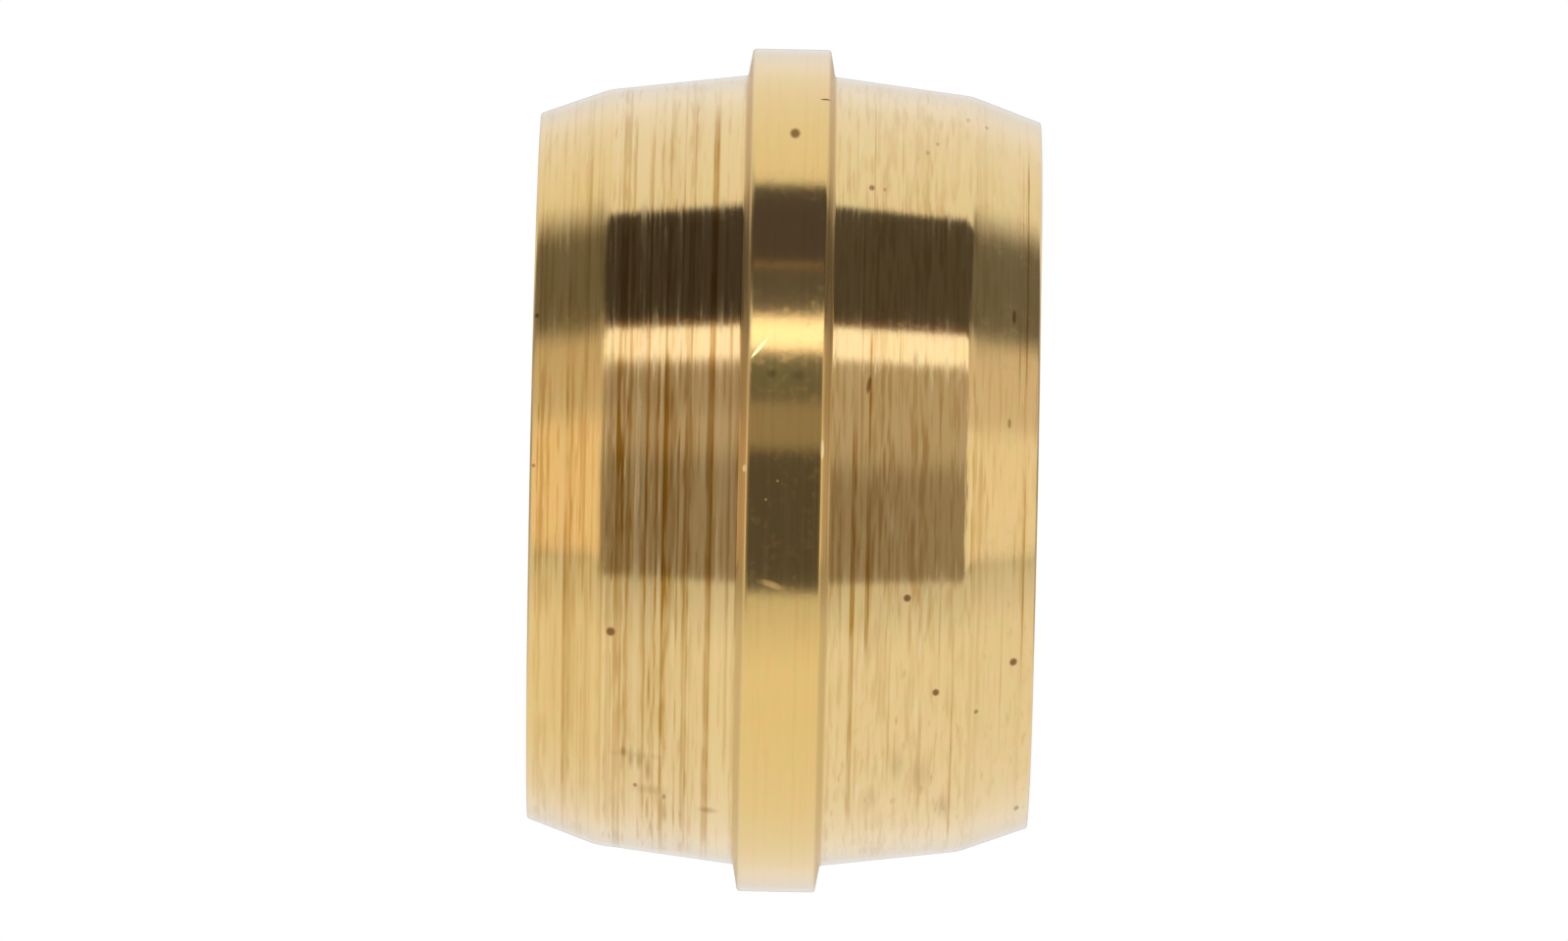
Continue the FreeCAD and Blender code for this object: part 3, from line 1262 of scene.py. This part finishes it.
@dataclass
class Olive:
    """The ring itself.

    Attributes:
        section: its section.
        lathe: what turns it.
        brass: what it is made of.
        node: the solid that it stands for.
        slot: the record's name for its material; not used.
    """

    section: Section
    lathe: Lathe
    brass: Brass
    node: str = "olive"
    slot: str = "turned_brass"

    def build(self) -> bpy.types.Object:
        """Turns the ring and puts it in the frame.

        Returns:
            The finished piece.
        """
        material = self.brass.material(self.section)
        piece = self.section_piece()
        self.turn(piece, material)
        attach(piece, "root")
        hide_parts(self.node)
        return piece

    def section_piece(self) -> bpy.types.Object:
        """The section as a closed line that carries what each surface's finish says.

        Returns:
            An object whose mesh is that line, for the lathe to turn.
        """
        outline = self.section.outline()
        rail = self.section.bore_radius
        points = [((place.x - rail) * MM, -place.y * MM, 0.0) for place, _ in outline]
        edges = [(i, (i + 1) % len(points)) for i in range(len(points))]
        mesh = bpy.data.meshes.new("turned_olive")
        mesh.from_pydata(points, edges, [])
        for name, values in self.carried(outline):
            mesh.attributes.new(name, "FLOAT", "POINT").data.foreach_set("value", values)
        piece = bpy.data.objects.new("turned_olive", mesh)
        bpy.context.scene.collection.objects.link(piece)
        return piece

    @staticmethod
    def carried(outline: list[tuple[Vector, TurnedFinish]]) -> Iterator[tuple[str, list[float]]]:
        """The numbers that the section carries for the lathe and the material.

        Args:
            outline: the section's points with their finishes.

        Yields:
            The name of a number, and its value at each point.
        """
        along = [0.0]
        for (here, _), (there, _) in zip(outline, outline[1:]):
            along.append(along[-1] + (there - here).length)
        yield "along", along
        yield "groove_depth", [finish.groove * MICRON for _, finish in outline]
        for name in ("stain", "pale", "rough", "dashes", "mottle"):
            yield name, [getattr(finish, name) for _, finish in outline]

    def turn(self, piece: bpy.types.Object, material: bpy.types.Material) -> None:
        """Turns the section into the ring and leaves it a plain mesh.

        Args:
            piece: the object that holds the section.
            material: the brass.
        """
        tree = self.lathe.tree()
        modifier = piece.modifiers.new("lathe", "NODES")
        modifier.node_group = tree
        given = {
            "Segments": self.lathe.segments,
            "Rail Radius": self.section.bore_radius * MM,
            "Brass": material,
        }
        for item in tree.interface.items_tree:
            if item.name in given:
                modifier[item.identifier] = given[item.name]
        graph = bpy.context.evaluated_depsgraph_get()
        shown = piece.evaluated_get(graph)
        ring = bpy.data.meshes.new_from_object(shown, preserve_all_data_layers=True, depsgraph=graph)
        piece.modifiers.remove(modifier)
        line, piece.data = piece.data, ring
        bpy.data.meshes.remove(line)
        ring.name = piece.name


@dataclass(frozen=True)
class Panel:
    """A part of the light tent, as the ring sees it.

    Attributes:
        name: what it is.
        around: its limits round the ring's axis, from the camera's side towards the top of the picture.
        tilt: its limits above and below the level of the ring.
        edges: softness of its two limits round the axis.
        ends: softness of its lower and upper end.
        colour: the light that comes from it.
    """

    name: str
    around: Limits
    tilt: Limits
    edges: tuple[float, float]
    ends: tuple[float, float]
    colour: Colour


# From one end of the tent to the other, as a tilt
WHOLE = (-89.0, 89.0)

PANELS = (
    Panel("cloth behind", (152.0, 200.0), WHOLE, (22.0, 1.0), (4.0, 4.0), (0.82, 0.80, 0.77)),
    Panel("cloth behind below", (-200.0, -152.0), WHOLE, (1.0, 22.0), (4.0, 4.0), (0.82, 0.80, 0.77)),
    Panel("gap behind", (174.0, 200.0), WHOLE, (5.0, 1.0), (4.0, 4.0), (0.34, 0.33, 0.32)),
    Panel("gap behind below", (-200.0, -174.0), WHOLE, (1.0, 5.0), (4.0, 4.0), (0.34, 0.33, 0.32)),
    Panel("fold below", (-46.0, -31.0), WHOLE, (24.0, 3.0), (4.0, 4.0), (0.75, 0.75, 0.74)),
    Panel("front cloth", (-31.0, 17.0), (-70.0, 70.0), (2.0, 12.0), (9.0, 9.0), (0.97, 0.93, 0.88)),
    Panel("warm front cloth", (-31.0, 17.0), (20.0, 70.0), (2.0, 12.0), (9.0, 9.0), (1.0, 0.86, 0.74)),
    Panel("front cloth above", (17.0, 48.0), (-70.0, 70.0), (12.0, 4.0), (9.0, 9.0), (0.68, 0.61, 0.55)),
    Panel("paler cloth above", (17.0, 48.0), (-70.0, -20.0), (12.0, 4.0), (9.0, 9.0), (0.76, 0.69, 0.63)),
    Panel("shaded front", (47.0, 91.5), (-70.0, 70.0), (9.0, 18.0), (9.0, 9.0), (0.18, 0.17, 0.16)),
    Panel("seam", (-33.5, -30.5), (-70.0, 70.0), (2.0, 2.0), (9.0, 9.0), (0.56, 0.56, 0.55)),
    Panel("dim end", (-190.0, 190.0), (58.0, 95.0), (1.0, 1.0), (10.0, 1.0), (0.48, 0.45, 0.44)),
    Panel("dim end below", (-190.0, 190.0), (-95.0, -58.0), (1.0, 1.0), (1.0, 10.0), (0.48, 0.45, 0.44)),
    Panel("cloth by the opening", (84.0, 110.0), (-22.0, 22.0), (4.0, 8.0), (8.0, 8.0), (0.94, 0.94, 0.94)),
    Panel("opening", (40.0, 84.0), (-23.0, 24.0), (3.0, 4.0), (4.0, 14.0), (0.064, 0.055, 0.050)),
    Panel("opening below", (40.0, 84.0), (-23.0, -7.0), (3.0, 4.0), (8.0, 5.0), (0.094, 0.083, 0.076)),
    Panel("lamp's warm rim", (42.0, 45.4), (-23.0, 24.0), (2.0, 2.0), (4.0, 12.0), (0.19, 0.11, 0.06)),
    Panel("lamp", (32.6, 43.2), (-23.0, 24.0), (4.0, 2.0), (4.0, 12.0), (1.32, 1.32, 1.46)),
    Panel("room above", (-20.0, 31.5), (-23.0, 24.0), (4.0, 6.0), (4.0, 12.0), (0.44, 0.38, 0.34)),
    Panel("room", (-20.0, 17.5), (-23.0, 24.0), (4.0, 9.0), (4.0, 12.0), (0.53, 0.47, 0.43)),
    Panel("room below", (-33.0, 4.5), (-23.0, 24.0), (3.0, 12.0), (4.0, 12.0), (0.35, 0.305, 0.262)),
    Panel("room's paler side", (3.5, 31.5), (-23.0, -7.0), (20.0, 6.0), (4.0, 5.0), (0.55, 0.49, 0.445)),
    Panel("opening's middle", (50.0, 84.0), (-6.0, 6.0), (4.0, 5.0), (10.0, 10.0), (0.088, 0.080, 0.105)),
    Panel("lamp's middle", (32.5, 46.0), (-6.0, 6.0), (4.0, 3.0), (10.0, 10.0), (1.85, 1.74, 1.90)),
    Panel("camera's shade above", (17.5, 32.5), (-6.0, 6.0), (4.0, 3.0), (10.0, 10.0), (0.16, 0.17, 0.17)),
    Panel("camera's shade", (6.0, 17.5), (-6.0, 6.0), (5.0, 4.0), (10.0, 10.0), (0.34, 0.31, 0.28)),
    Panel("camera", (-33.0, 6.0), (-6.0, 6.0), (3.0, 3.0), (10.0, 10.0), (0.095, 0.092, 0.105)),
    Panel("card by the lamp", (42.2, 57.0), (-5.0, 5.0), (4.0, 4.0), (6.0, 6.0), (0.125, 0.12, 0.145)),
    Panel("cord", (57.2, 58.4), (-5.0, 2.5), (1.0, 1.0), (2.0, 3.0), (0.40, 0.30, 0.20)),
)


@dataclass(frozen=True)
class LightTent:
    """The light round the ring: a pale tent, with an opening on the camera's side.

    Attributes:
        cloth: the light that the tent's cloth gives.
        panels: what shows in its opening, the outermost first.
    """

    cloth: Colour = (0.94, 0.94, 0.94)
    panels: tuple[Panel, ...] = PANELS

    def build(self) -> bpy.types.World:
        """Makes the world: the tent round the ring, and plain white behind it.

        Returns:
            The scene's world.
        """
        world = bpy.data.worlds.new("light_tent")
        world.use_nodes = True
        graph = Graph(world.node_tree)
        direction = graph.wire("ShaderNodeTexCoord", output="Generated")
        east, north, up = graph.split(direction)
        around = angle_round(graph, east, north)
        tilt = graph.maths("ARCSINE", up) * DEGREES

        light: Feed = self.cloth
        for panel in self.panels:
            across = around.band(*panel.around, *panel.edges)
            level = tilt.band(*panel.tilt, *panel.ends)
            light = graph.mix(across * level, light, panel.colour)

        tent = graph.wire("ShaderNodeBackground", sockets={"Color": light})
        white = graph.wire("ShaderNodeBackground", sockets={"Color": WHITE})
        seen = graph.wire("ShaderNodeLightPath", output="Is Camera Ray")
        shown = graph.wire("ShaderNodeMixShader", sockets={0: seen, 1: tent, 2: white})
        graph.add("ShaderNodeOutputWorld", sockets={"Surface": shown})
        bpy.context.scene.world = world
        return world


@dataclass(frozen=True)
class Floor:
    """The pale floor that the ring stands on.

    Attributes:
        half: half its width, in metres.
        clear: distances from the axis between which its shading fades into plain white.
        side: distances to the ring's sides between which it fades there, as the camera sees past them.
        front: distances to the ring's front between which it fades there.
        bore: distances from the axis, under the ring's wall, inside which it shows through the bore.
        inside: how much of its shading it keeps there.
        paint: its colour.
    """

    half: float = 3.0
    clear: Limits = (6.0, 10.0)
    side: Limits = (3.0, 5.8)
    front: Limits = (2.5, 5.7)
    bore: Limits = (5.2, 5.6)
    inside: float = 0.4
    paint: Colour = (0.95, 0.95, 0.95)

    def build(self) -> bpy.types.Object:
        """Makes the floor, which only the camera and soft light see.

        Returns:
            The floor's object.
        """
        mesh = bpy.data.meshes.new("floor")
        corners = [(x * self.half, y * self.half, 0.0) for x, y in ((-1, -1), (1, -1), (1, 1), (-1, 1))]
        mesh.from_pydata(corners, [], [range(len(corners))])
        mesh.materials.append(self.material())
        floor = bpy.data.objects.new("floor", mesh)
        bpy.context.scene.collection.objects.link(floor)
        floor.visible_glossy = False
        return floor

    def material(self) -> bpy.types.Material:
        """Plain pale paint that keeps the ring's shadow and is pure white further off.

        Returns:
            The floor's material.
        """
        material = bpy.data.materials.new("pale_floor")
        material.use_nodes = True
        graph = Graph(material.node_tree)
        place = graph.wire("ShaderNodeTexCoord", output="Object")
        east, north, _ = graph.split(place)
        away = graph.length(place) / MM
        shaded = (1.0 - away.rise(*self.clear)) * (1.0 - abs(east / MM).rise(*self.side))
        shaded = shaded * (1.0 - (0 - north / MM).rise(*self.front))
        shaded = self.inside + (shaded - self.inside) * away.rise(*self.bore)
        seen = graph.wire("ShaderNodeLightPath", output="Is Camera Ray")
        paint = graph.wire("ShaderNodeBsdfDiffuse", sockets={"Color": self.paint})
        white = graph.wire("ShaderNodeEmission", sockets={"Color": WHITE})
        shown = graph.wire("ShaderNodeMixShader", sockets={0: (1.0 - shaded) * seen, 1: paint, 2: white})
        graph.add("ShaderNodeOutputMaterial", sockets={"Surface": shown})
        return material


@dataclass(frozen=True)
class PhotoCamera:
    """The camera that sees the ring across its axis.

    Attributes:
        distance: distance from the ring's axis.
        lens: focal length.
        roll: how far the ring's axis dips to the right in the picture.
    """

    distance: float = 296.0
    lens: float = 423.85
    roll: float = 1.15

    def build(self, height: float) -> bpy.types.Object:
        """Makes the camera, level with the middle of the ring, and turned on its side.

        Args:
            height: height of the ring's middle.

        Returns:
            The scene's camera.
        """
        data = bpy.data.cameras.new("photo_camera")
        data.lens = self.lens
        camera = bpy.data.objects.new("photo_camera", data)
        dip = math.radians(self.roll)
        right = Vector((math.sin(dip), 0.0, -math.cos(dip)))
        back = Vector((0.0, -1.0, 0.0))
        turned = Matrix((right, back.cross(right), back)).transposed().to_4x4()
        camera.matrix_world = Matrix.Translation((0.0, -self.distance * MM, height * MM)) @ turned
        bpy.context.scene.collection.objects.link(camera)
        bpy.context.scene.camera = camera
        return camera


def packed_section() -> Section:
    """The ring's section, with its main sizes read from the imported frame.

    Returns:
        The section.
    """
    low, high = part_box("olive")
    bore = next(mount for mount in frame["record"]["mounts"] if mount["name"] == "tube_bore")
    return Section(
        bore_radius=bore["dims"]["r_mm"],
        collar_radius=(high.x - low.x) / 2 / MM,
        length=(high.z - low.z) / MM,
    )


def main() -> None:
    """Builds the ring, its floor, its light and its camera."""
    logging.basicConfig(level=logging.INFO, format="%(name)s: %(message)s")
    bpy.context.scene.view_settings.view_transform = "Standard"
    section = packed_section()
    olive = Olive(section, Lathe(), Brass()).build()
    LOG.info("%s: %d faces", olive.name, len(olive.data.polygons))
    floor = Floor().build()
    LOG.info("%s: the ring stands on it", floor.name)
    world = LightTent().build()
    LOG.info("%s: lights the ring", world.name)
    camera = PhotoCamera()
    placed = camera.build(section.length / 2)
    LOG.info("%s: %.0f mm from the axis", placed.name, camera.distance)


if __name__ == "__main__":
    main()
